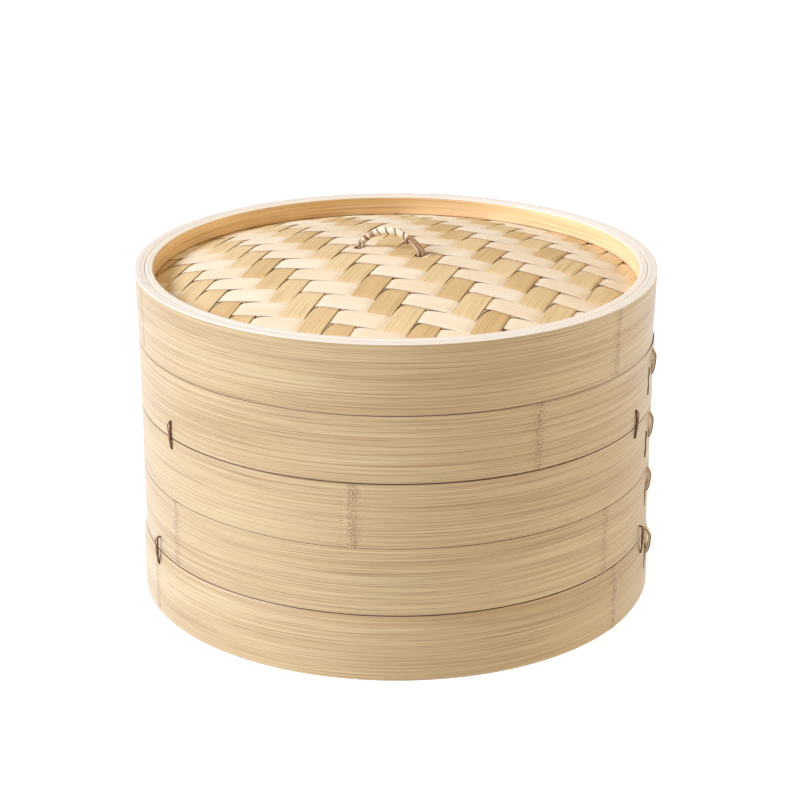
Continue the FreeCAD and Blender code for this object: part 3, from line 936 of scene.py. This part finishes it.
def tie_outside(dark, light, chance, radius, low, high, angle):
    """The part of a tie that shows: a dark strand, and a lighter one that curves beside it."""
    middle = (low + high) / 2
    lean = chance.uniform(-0.3, 0.3)
    main = [
        (-2.5, 0, high - 0.6),
        (0.1, 0, high - 0.5),
        (0.5, lean / 2, high - 1.9),
        (0.7, lean, middle + 2),
        (0.6, -lean / 2, middle - 0.5),
        (0.8, -lean, middle - 3),
        (0.5, 0, low + 1.9),
        (0.1, 0, low + 0.5),
        (-2.5, 0, low + 0.6),
    ]
    wall_cane(dark, radius, main, angle, TIE_CANE, chance.uniform(0.5, 0.8))
    bow = 1.9 if angle % 360 < 180 else -1.9
    second = [
        (-2.0, 0.1 * bow, high - 1.0),
        (0.2, 0.3 * bow, high - 0.5),
        (1.0, bow, high - 3.0),
        (1.0, 0.8 * bow, middle + 1.8),
        (1.4, 0.1 * bow, middle - 0.3),
        (0.9, 0.6 * bow, middle - 2.4),
        (0.6, 0.5 * bow, low + 3.6),
        (0.2, 0.3 * bow, low + 0.8),
        (-2.0, 0.1 * bow, low + 1.2),
    ]
    wall_cane(light, radius, second, angle, TIE_SIDE_CANE, chance.uniform(0.4, 0.7))


def tie_inside(dark, chance, radius, low, high, angle):
    """The run of a tie on the wall's inner face."""
    run = [
        (2.5, 0, high - 0.7),
        (-0.3, 0, high - 0.6),
        (-1.0, 0.2, high - 2.4),
        (-1.1, 0.1, (low + high) / 2),
        (-1.0, -0.2, low + 2.4),
        (-0.3, 0, low + 0.6),
        (2.5, 0, low + 0.7),
    ]
    wall_cane(dark, radius, run, angle, TIE_INSIDE_CANE, chance.uniform(0.3, 0.8))


def edge_stitch(light, dark, chance, radius, low, high, angle):
    """A thick pale cane that bows out from a band's edge, between two thin brown ones."""
    bulge = chance.uniform(1.7, 2.2)

    def bow(offset, extra):
        return [
            (-2.0, offset, high - 1.0),
            (0.3, offset, high - 0.2),
            (bulge + extra, offset, high - 3.4),
            (bulge + extra, offset, (low + high) / 2),
            (bulge * 0.7 + extra, offset, low + 3.0),
            (0.3, offset, low + 0.6),
            (-2.0, offset, low + 0.8),
        ]

    wall_cane(light, radius, bow(0, 0), angle, STITCH_CANE, chance.uniform(0.0, 0.3))
    for way in (-1, 1):
        tone = chance.uniform(0.4, 0.9)
        wall_cane(dark, radius, bow(way * OUTLINE_OFFSET, OUTLINE_LIFT), angle, OUTLINE_CANE, tone)


def lower_stitch(dark, chance, radius, low, high, angle):
    """A brown stitch that zigzags a little down the band."""
    points = [(-2.0, 0, high - 0.8), (0.3, 0, high - 0.3)]
    for share, way in ((0.2, 1), (0.4, -1), (0.6, 1), (0.8, -1)):
        sway = chance.uniform(0.35, 0.8) * way
        points.append((chance.uniform(0.35, 0.7), sway, high + (low - high) * share))
    points += [(0.3, 0, low + 0.4), (-2.0, 0, low + 0.8)]
    wall_cane(dark, radius, points, angle, LOWER_STITCH_CANE, chance.uniform(0.5, 0.9))


def make_cane_pieces(body, kind, node, shells):
    """One piece for each shade of a body's canes."""
    for shade, (shell, material) in shells.items():
        piece = shell.make("%s_%s_%s" % (body, kind, shade), material)
        belongs(piece, body, "cane_lacing", node)


def make_ties():
    """Four ties on each tier, in dark and light cane."""
    wall = box_mm("lid_upper_hoop")[1][0] - HOOP_THICKNESS
    for seed, (tier, tie_angle) in enumerate(TIE_ANGLES.items(), start=50):
        radius = box_mm(tier + "_lower_band")[1][0]
        chance = random.Random(seed)
        low, high = box_mm(tier + "_wall_ties")
        dark = Shell()
        light = Shell()
        for way in (-1, 1):
            for end in (0, 180):
                angle = TIER_TURNS[tier] + end + way * tie_angle
                tie_outside(dark, light, chance, radius, low[2] + 0.6, high[2] - 0.6, angle)
                tie_inside(dark, chance, wall, low[2], high[2], angle)
        shells = {"dark": (dark, DARK_CANE), "light": (light, BROWN_CANE)}
        make_cane_pieces(tier, "ties", tier + "_wall_ties", shells)


def make_lacing():
    """The stitches that hold the outer end of each band's strip."""
    for seed, (body, stitches) in enumerate(STITCHES.items(), start=60):
        (edge_angle, edge_top, edge_bottom), (lower_angle, lower_top, lower_bottom) = stitches
        chance = random.Random(seed)
        light = Shell()
        dark = Shell()
        for band in (node for node in NODE_ANGLES if node.startswith(body)):
            high = box_mm(band)[1]
            top = high[2]
            radius = high[0] - 0.1
            edge_stitch(light, dark, chance, radius, top - edge_bottom, top - edge_top, edge_angle)
            lower_stitch(dark, chance, radius, top - lower_bottom, top - lower_top, lower_angle)
        shells = {"light": (light, PALE_CANE), "dark": (dark, DARK_CANE)}
        make_cane_pieces(body, "lacing", body + "_seam_lacing", shells)


def arc(centre, radius, start, end, spacing=0.35):
    """Points of an arc in the handle's plane, angles in radians from its length."""
    count = max(3, int(abs(end - start) * radius / spacing))
    turn = np.linspace(start, end, count, endpoint=False)
    return np.stack([centre[0] + radius * np.cos(turn), centre[1] + radius * np.sin(turn)], axis=1)


def handle_line(offset, spread=0.0):
    """The loop's closed line in its own plane, from the left foot over the crown and back."""
    half = HANDLE_SPAN / 2
    rise = HANDLE_TOP - HANDLE_LEG
    shoulder_x = half - HANDLE_SHOULDER
    crown = (half ** 2 + rise ** 2 - 2 * half * HANDLE_SHOULDER) / (2 * (rise - HANDLE_SHOULDER))
    crown_centre = HANDLE_TOP - crown
    slope = math.atan2(HANDLE_LEG - crown_centre, shoulder_x)
    shoulder = HANDLE_SHOULDER + offset
    bend = HANDLE_LOW_BEND + offset
    low = STRAND_OFFSET - offset
    turn = math.pi / 2
    leg = half + offset
    foot = low + bend
    straight = np.linspace(foot, HANDLE_LEG, 10, endpoint=False)
    left = np.stack([np.full(10, -leg), straight], axis=1)
    right = np.stack([np.full(10, leg), straight[::-1]], axis=1)
    run = np.linspace(half - HANDLE_LOW_BEND, HANDLE_LOW_BEND - half, 60, endpoint=False)
    line = np.concatenate([
        left,
        arc((-shoulder_x, HANDLE_LEG), shoulder, math.pi, math.pi - slope),
        arc((0, crown_centre), crown + offset, math.pi - slope, slope),
        arc((shoulder_x, HANDLE_LEG), shoulder, slope, 0),
        right,
        arc((leg - bend, foot), bend, 0, -turn),
        np.stack([run, np.full(60, low)], axis=1),
        arc((bend - leg, foot), bend, -turn, -math.pi),
    ])
    if spread:
        share = smoothstep((line[:, 0] - 6) / 9) * smoothstep((HANDLE_LEG + 6 - line[:, 1]) / 6)
        line[:, 0] += spread * share
    return line


def on_handle(line):
    """Places a line in the handle's own plane on the lid."""
    return HINGE + line[:, :1] * HINGE_LINE + line[:, 1:] * np.array([0, 0, 1])


def make_handle():
    """Two cane strands in a loop, and the wrapping over the left leg and the crown."""
    size = (2 * STRAND_RADIUS, 2 * STRAND_RADIUS)
    for node, way in (("outer", 1), ("inner", -1)):
        offset = way * STRAND_OFFSET
        path = on_handle(handle_line(offset, way * STRAND_SPREAD))
        shell = Shell()
        cane_strip(shell, path, HINGE_SIDE, size, 0.5 + 0.2 * offset, closed=True)
        strand = shell.make("handle_%s_cane" % node, STRAND)
        belongs(strand, "handle", "cane_strand", "handle_%s_strand" % node)
    make_wrapping()


def wrapping_path():
    """The wrapping's middle line, from the left leg to just right of the crown's top."""
    line = handle_line(0)
    top = int(np.argmax(line[:, 1]))
    first = next(index for index, point in enumerate(line) if point[1] > WRAP_START)
    last = next(index for index in range(top, len(line)) if line[index, 0] > WRAP_END)
    path = on_handle(line[first:last])
    distance = along_path(path)[0]
    even = np.linspace(0, distance[-1], WRAP_SAMPLES)
    return np.stack([np.interp(even, distance, path[:, axis]) for axis in range(3)], axis=1)


def make_wrapping():
    """A sleeve of cane wound round both strands: close brown turns, then wide pale ones."""
    path = wrapping_path()
    distance, tangent = along_path(path)
    through = np.cross(tangent, HINGE_SIDE)
    crown_share = smoothstep((distance - WRAP_BROWN_LENGTH) / WRAP_CHANGE_LENGTH)

    pitch = WRAP_PITCH + WRAP_PITCH_GROWTH * crown_share + 0.25 * np.sin(distance * 1.3)
    turns = np.concatenate([[0], np.cumsum(np.diff(distance) / pitch[1:])])
    angle = np.linspace(0, 2 * math.pi, 30, endpoint=False)
    phase = turns[:, None] - angle[None, :] / (2 * math.pi)
    turn_number = np.floor(phase)
    share = phase - turn_number

    rib = np.sin(math.pi * share) ** 0.55
    thick = WRAP_RADIUS + 0.25 * crown_share + 0.06 * np.sin(distance * 2.1)
    end = smoothstep(distance / 1.2) * smoothstep((distance[-1] - distance) / 0.8)
    radius = (thick * (0.82 + 0.18 * end))[:, None] * (0.80 + 0.20 * rib)
    offset = (np.cos(angle)[None, :, None] * HINGE_SIDE * radius[..., None]
              + np.sin(angle)[None, :, None] * through[:, None] * radius[..., None] * WRAP_DEPTH)

    own_shade = (np.sin(turn_number * 12.9898) * 43758.5453) % 1.0
    tone = 0.62 - 0.5 * crown_share[:, None] + (0.7 - 0.45 * crown_share[:, None]) * (own_shade - 0.5)
    grain = stacked(angle * 1.5 + 7 * turn_number, share * 3, 0)
    shell = Shell()
    shell.sweep(path[:, None] + offset, grain, stacked(FAR, tone, np.minimum(share, 1 - share)))
    loose_end(shell, path[-1], tangent[-1])
    piece = shell.make("handle_wrapping_cane", WRAPPING, sharp=60)
    belongs(piece, "handle", "cane_wrapping", "handle_wrapping")


def loose_end(shell, start, along):
    """The tucked end of the wrapping, which hangs a little below the crown."""
    down = np.array([0, 0, -1.0])
    points = [
        start - 1.2 * along - 1.0 * HINGE_SIDE + 1.0 * down,
        start + 0.2 * along - 1.6 * HINGE_SIDE + 1.4 * down,
        start + 0.6 * along - 1.2 * HINGE_SIDE + 2.4 * down,
        start - 0.6 * along - 0.9 * HINGE_SIDE + 3.2 * down,
    ]
    cane_strip(shell, smooth_path(points, 0.2), HINGE_SIDE, LOOSE_CANE, 0.9)


def make_anchors():
    """The short stitches that bind the weave beside the handle's two feet."""
    edge = box_mm("lid_outer_weave")[1][2] - DOME_RISE
    chance = random.Random(81)
    shell = Shell()
    for way in (-1, 1):
        for lane in (-0.9, 0.9):
            points = []
            for along, up in ((3.5, -2.2), (3.8, 0.0), (4.5, 0.5), (5.4, 0.4), (6.1, 0.0), (6.4, -2.2)):
                spread = lane * (1 + 0.04 * along)
                spot = HINGE + HINGE_LINE * way * (HANDLE_SPAN / 2 + along) + HINGE_SIDE * spread
                spot[2] = dome_height(math.hypot(spot[0], spot[1]), edge, DOME_RISE) + up
                points.append(spot)
            cane_strip(shell, smooth_path(points), HINGE_SIDE, ANCHOR_CANE, chance.uniform(0.6, 0.9))
    piece = shell.make("lid_anchor_cane", PALE_CANE)
    belongs(piece, "lid", "cane_lacing", "lid_handle_anchors")


# ------------ Floor of each tier ------------

def make_slats():
    """The floor slats, each a planed strip with soft edges and ends cut to the wall's curve."""
    across = np.array(SLAT_ACROSS)
    through = np.array(SLAT_THROUGH)
    for seed, (tier, turn) in enumerate(TIER_TURNS.items(), start=90):
        chance = random.Random(seed)
        direction = around(turn + 180)
        side = around(turn + 90)
        for number in range(SLAT_COUNT):
            node = "%s_slat_%02d" % (tier, number + 1)
            top = box_mm(node)[1][2]
            line = (number - SLAT_COUNT // 2) * SLAT_PITCH + across
            reach = np.sqrt(np.maximum(FLOOR_RADIUS ** 2 - line ** 2, 4.0))
            along = np.linspace(-1, 1, 90)[:, None] * reach
            cup = 0.10 * np.sin(along / 40 + chance.uniform(0, 6))
            sections = along[..., None] * direction + line[:, None] * side
            sections[..., 2] = top + through + np.minimum(cup, 0)
            grain = stacked(along + chance.uniform(0, 5000), across, through)
            node_place = chance.uniform(-80, 80)
            shell = Shell()
            shell.sweep(sections, grain, stacked(along - node_place, 9, 9))
            belongs(shell.make(node + "_strip", SLAT), tier, "bamboo_slat", node)


def finish_cad_nodes():
    """Materials for the CAD pieces that are shown as they are: crossbars and pins."""
    for tier, turn in TIER_TURNS.items():
        crossbar = timber("bamboo_crossbar_" + tier, turn, rgb(232, 204, 152), rgb(206, 170, 114),
                          rgb(146, 100, 54))
        pin = timber("bamboo_pin_" + tier, 0, rgb(214, 178, 120), rgb(176, 134, 80), rgb(110, 72, 38))
        for place in ("front", "back"):
            dress(tier + "_crossbar_" + place, crossbar)
        dress(tier + "_slat_pins", pin)


def dress(node, material):
    """Gives a CAD node its one material."""
    materials = frame["nodes"][node].data.materials
    materials.clear()
    materials.append(material)


# ------------ Studio ------------

def make_floor():
    """A wide pale floor that glows a little, so that it is as white as the photograph's ground."""
    size = FLOOR_HALF_SIZE
    mesh = bpy.data.meshes.new("studio_floor")
    corners = [(-size, -size, 0), (size, -size, 0), (size, size, 0), (-size, size, 0)]
    mesh.from_pydata(corners, [], [(0, 1, 2, 3)])
    look = Look("studio_floor")
    look.shader.inputs["Emission Color"].default_value = (1, 1, 1, 1)
    look.shader.inputs["Emission Strength"].default_value = FLOOR_GLOW
    mesh.materials.append(look.finish(rgb(160, 160, 160), 0.9, specular=0.1))
    floor = bpy.data.objects.new("studio_floor", mesh)
    bpy.context.scene.collection.objects.link(floor)


def sun(name, azimuth, elevation, strength, width, colour):
    """A far, wide light. Its azimuth is counted from the front, like every angle here."""
    data = bpy.data.lights.new(name, "SUN")
    data.energy = strength
    data.angle = math.radians(width)
    data.color = colour
    light = bpy.data.objects.new(name, data)
    source = Vector(around(azimuth) * math.cos(math.radians(elevation)))
    source.z = math.sin(math.radians(elevation))
    light.rotation_euler = source.to_track_quat("Z", "Y").to_euler()
    bpy.context.scene.collection.objects.link(light)


def make_studio():
    """The floor, a pale sky and the suns."""
    make_floor()
    world = bpy.data.worlds.new("studio")
    world.use_nodes = True
    background = world.node_tree.nodes["Background"]
    background.inputs["Color"].default_value = SKY_COLOUR
    background.inputs["Strength"].default_value = SKY_STRENGTH
    bpy.context.scene.world = world
    bpy.context.scene.view_settings.view_transform = "Standard"
    for name, settings in SUNS.items():
        sun(name, *settings)


def make_camera():
    """The camera in front of the basket, looking down on it as the photograph does."""
    elevation = math.radians(CAMERA_ELEVATION)
    backwards = Vector((0, -math.cos(elevation), math.sin(elevation)))
    data = bpy.data.cameras.new("camera")
    data.sensor_width = 36.0
    data.lens = CAMERA_LENS
    data.shift_x, data.shift_y = CAMERA_SHIFT
    data.clip_end = 40
    camera = bpy.data.objects.new("camera", data)
    camera.location = (Vector(CAMERA_TARGET) + CAMERA_DISTANCE * backwards) * MM
    camera.rotation_mode = "XYZ"
    camera.rotation_euler = (math.pi / 2 - elevation, math.radians(CAMERA_ROLL), 0)
    bpy.context.scene.collection.objects.link(camera)
    bpy.context.scene.camera = camera


make_bands()
make_hoops()
make_weave()
make_ties()
make_lacing()
make_handle()
make_anchors()
make_slats()
finish_cad_nodes()
make_studio()
make_camera()
